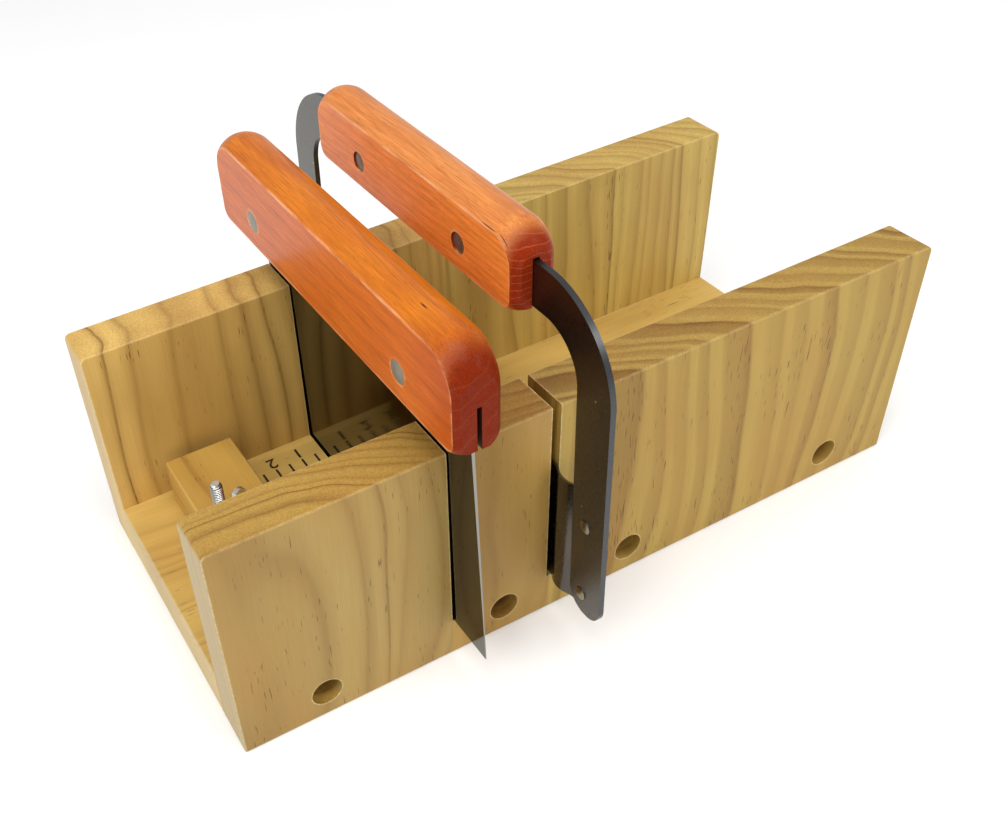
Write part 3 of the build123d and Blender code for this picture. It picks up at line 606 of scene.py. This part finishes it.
    # end grain drinks the varnish: little gloss is left there, and that in patches
    drunk = add(tree, "ShaderNodeTexNoise", {0: place, "Scale": 0.5, "Detail": 3.0})
    drunk = add(tree, "ShaderNodeMapRange", {0: drunk, 1: 0.4, 2: 0.65, 3: 0.01, 4: 0.12})
    coat = add(tree, "ShaderNodeMix", {0: ends, 2: 0.2, 3: drunk})
    tree.links.new(coat, shader.inputs["Coat Weight"])
    gloss = add(tree, "ShaderNodeMix", {0: ends, 2: 0.18, 3: 0.05})
    tree.links.new(gloss, shader.inputs["Specular IOR Level"])
    shader.inputs["Roughness"].default_value = 0.42
    shader.inputs["Coat Roughness"].default_value = 0.18
    return material


straight_wood = stained_hardwood(
    "varnished_orange_hardwood", side="#D26A1C", bright="#D0740F", end="#7C2405",
    heart=(-20, 0, 60), year=5.5, end_lines=0.05, kerf=(-52.7, 0.75, 109.6),
    cracks=[((-53.9, -49.5, 126.4), (0.3, 1.9, 2.0))], soaked=(-50, -68))
dress(straight_wood, "straight_handle")


# Ground steel gives the eye a grey metal whose highlight is drawn out across
# fine brush marks. Along is how often the marks change on each axis, in cycles
# to the metre (a rivet takes the same value on all three), scratches how deep
# they look, rim the tone painted on the cut edges to stand for the light and
# shade they catch, and dust how plainly its specks show.
def steel(name, tint, rough, along, rim, dust=0.0, scratches=0.06):
    material, tree, shader = new_material(name)
    coords = add(tree, "ShaderNodeTexCoord", out=3)
    brush = add(tree, "ShaderNodeMapping", {0: coords, 3: along})
    brush = add(tree, "ShaderNodeTexNoise", {0: brush, "Scale": 1.0, "Detail": 3.0})
    level = add(tree, "ShaderNodeMapRange",
                {0: brush, 1: 0.3, 2: 0.7, 3: rough * 0.75, 4: rough * 1.35})
    tree.links.new(level, shader.inputs["Roughness"])
    bump = add(tree, "ShaderNodeBump",
               {"Strength": scratches, "Distance": 0.05 * mm, "Height": brush})
    tree.links.new(bump, shader.inputs["Normal"])
    # the rims take a painted tone of their own: painted shade where darker than the
    # face, painted highlight where paler
    face = add(tree, "ShaderNodeMath",
               {0: axes_of(tree, add(tree, "ShaderNodeTexCoord", out=1))[0]},
               operation="ABSOLUTE")
    face = add(tree, "ShaderNodeMapRange", {0: face, 1: 0.3, 2: 0.7})
    colour = add(tree, "ShaderNodeMix", {0: face, 6: srgb(rim), 7: srgb(tint)}, out=2,
                 data_type="RGBA")
    if dust:
        # a few specks of pale dust, under half a millimetre across
        specks = add(tree, "ShaderNodeTexVoronoi", {0: coords, "Scale": 160.0})
        specks = add(tree, "ShaderNodeMapRange", {0: specks, 1: 0.07, 2: 0.04})
        chance = add(tree, "ShaderNodeTexNoise", {0: coords, "Scale": 90.0})
        chance = add(tree, "ShaderNodeMapRange", {0: chance, 1: 0.5, 2: 0.53, 3: 0.0, 4: dust})
        specks = add(tree, "ShaderNodeMath", {0: specks, 1: chance}, operation="MULTIPLY")
        colour = add(tree, "ShaderNodeMix", {0: specks, 6: colour, 7: srgb("#E6E3DC")},
                     out=2, data_type="RGBA")
    tree.links.new(colour, shader.inputs["Base Color"])
    shader.inputs["Metallic"].default_value = 1.0
    return material


# polished almost to a mirror, so it shows the white room darkly; its rim is painted paler, a
# painted highlight
blade_steel = steel("polished_stainless_blade", "#524E47", 0.03, (400, 9000, 400), "#94928B")
dress(blade_steel, "straight_blade")
# aluminium, dulled: pale grey, with a broad soft highlight
rivet_metal = steel("dull_aluminium_rivets", "#9A978C", 0.5, (2500, 2500, 2500), "#86837A",
                    scratches=0.5)
dress(rivet_metal, "straight_rivet_1", "straight_rivet_2")

# The crinkle cutter: a like handle, lighter and pinker, a brushed steel bow, and
# a thin pressed sheet riveted to the bow's arms.
wavy_wood = stained_hardwood(
    "varnished_pink_orange_hardwood", side="#FA9440", bright="#DC8A46", end="#8A2A0A",
    heart=(-21, 0, 92), year=2.6, end_lines=0.22, kerf=(-19.7, 1.1, 127.4),
    cracks=[((-26.3, -36.0, 132.4), (0.13, 4.0, 2.5)), ((-25.9, -43.0, 132.1), (0.12, 3.0, 2.5))])
dress(wavy_wood, "wavy_handle")
# brushed up and down, with a few specks of dust; its rim is painted darker than its face, a
# painted shade
bow_steel = steel("brushed_stainless_bow", "#64625C", 0.32, (8000, 8000, 600), "#515254",
                  dust=0.9)
dress(bow_steel, "wavy_frame")
# thinner sheet, rolled smoother than the bow, so each wave carries a highlight; its rim is
# painted paler, a painted highlight
sheet_steel = steel("pressed_stainless_sheet", "#625F5A", 0.22, (6000, 6000, 900), "#7A776E")
dress(sheet_steel, "wavy_blade")
# steel rivets, a little brown beside the bow
arm_rivet_metal = steel("dark_steel_rivets", "#8C8168", 0.33, (2500, 2500, 2500), "#7A766F",
                        scratches=0.4)
dress(arm_rivet_metal, "blade_rivet_1", "blade_rivet_2", "blade_rivet_3", "blade_rivet_4")
dress(rivet_metal, "wavy_rivet_1", "wavy_rivet_2")

# The table: one broad sheet of matt white card under the box, in a white room,
# with soft light from above and weaker ones from the left and the right.
table_size = 6.0
table_gap = 0.2 * mm
room_light = 0.62
bpy.ops.object.select_all(action="DESELECT")
bpy.ops.mesh.primitive_plane_add(size=table_size, location=(0, 0, -table_gap))
table = bpy.context.object
table.name = "table_card"
# Card gives the eye an even white with no gloss, which keeps the soft shadows
card, card_tree, card_shader = new_material("pale_card")
card_shader.inputs["Base Color"].default_value = srgb("#FFFFFF")
card_shader.inputs["Roughness"].default_value = 0.95
card_shader.inputs["Specular IOR Level"].default_value = 0.1
table.data.materials.append(card)

world = bpy.data.worlds.new("white_room")
bpy.context.scene.world = world
world.use_nodes = True
world.node_tree.nodes["Background"].inputs[0].default_value = (1, 1, 1, 1)
world.node_tree.nodes["Background"].inputs[1].default_value = room_light


# A square soft lamp at a place, aimed at a point, with its side and its power
def lamp(name, place, aim, size, watts):
    light = bpy.data.lights.new(name, "AREA")
    light.shape = "SQUARE"
    light.size = size
    light.energy = watts
    holder = bpy.data.objects.new(name, light)
    holder.location = place
    holder.rotation_euler = (Vector(aim) - Vector(place)).to_track_quat("-Z", "Y").to_euler()
    bpy.context.collection.objects.link(holder)


lamp("overhead_softbox", (-0.15, -0.35, 1.1), (0, 0, 0), 0.8, 6.1)
lamp("left_softbox", (-0.95, -0.3, 0.8), (0, 0, 0.05), 0.7, 4.6)
lamp("right_softbox", (0.9, -1.05, 1.1), (0, 0, 0.05), 0.5, 4.5)

# The camera stands where the photograph's did, as solved from the corners and
# the slots of the box. Its focal length and the point that it looks straight at
# are in the photograph's own pixels, and the shift brings that point in place.
photo_width, photo_height = 1007, 834
focal_length = 1163.7
straight_ahead = (354.1, 438.7)
camera_data = bpy.data.cameras.new("camera")
camera = bpy.data.objects.new("camera", camera_data)
bpy.context.collection.objects.link(camera)
bpy.context.scene.camera = camera
camera_data.sensor_fit = "HORIZONTAL"
camera_data.sensor_width = 36.0
camera_data.lens = focal_length / photo_width * camera_data.sensor_width
camera_data.shift_x = (photo_width / 2 - straight_ahead[0]) / photo_width
camera_data.shift_y = (straight_ahead[1] - photo_height / 2) / photo_width
camera_data.clip_start = 0.01
camera.location = (-0.16891, -0.25753, 0.29073)
camera.rotation_euler = (radians(49.005), radians(4.625), radians(-27.991))
bpy.context.scene.view_settings.view_transform = "Standard"
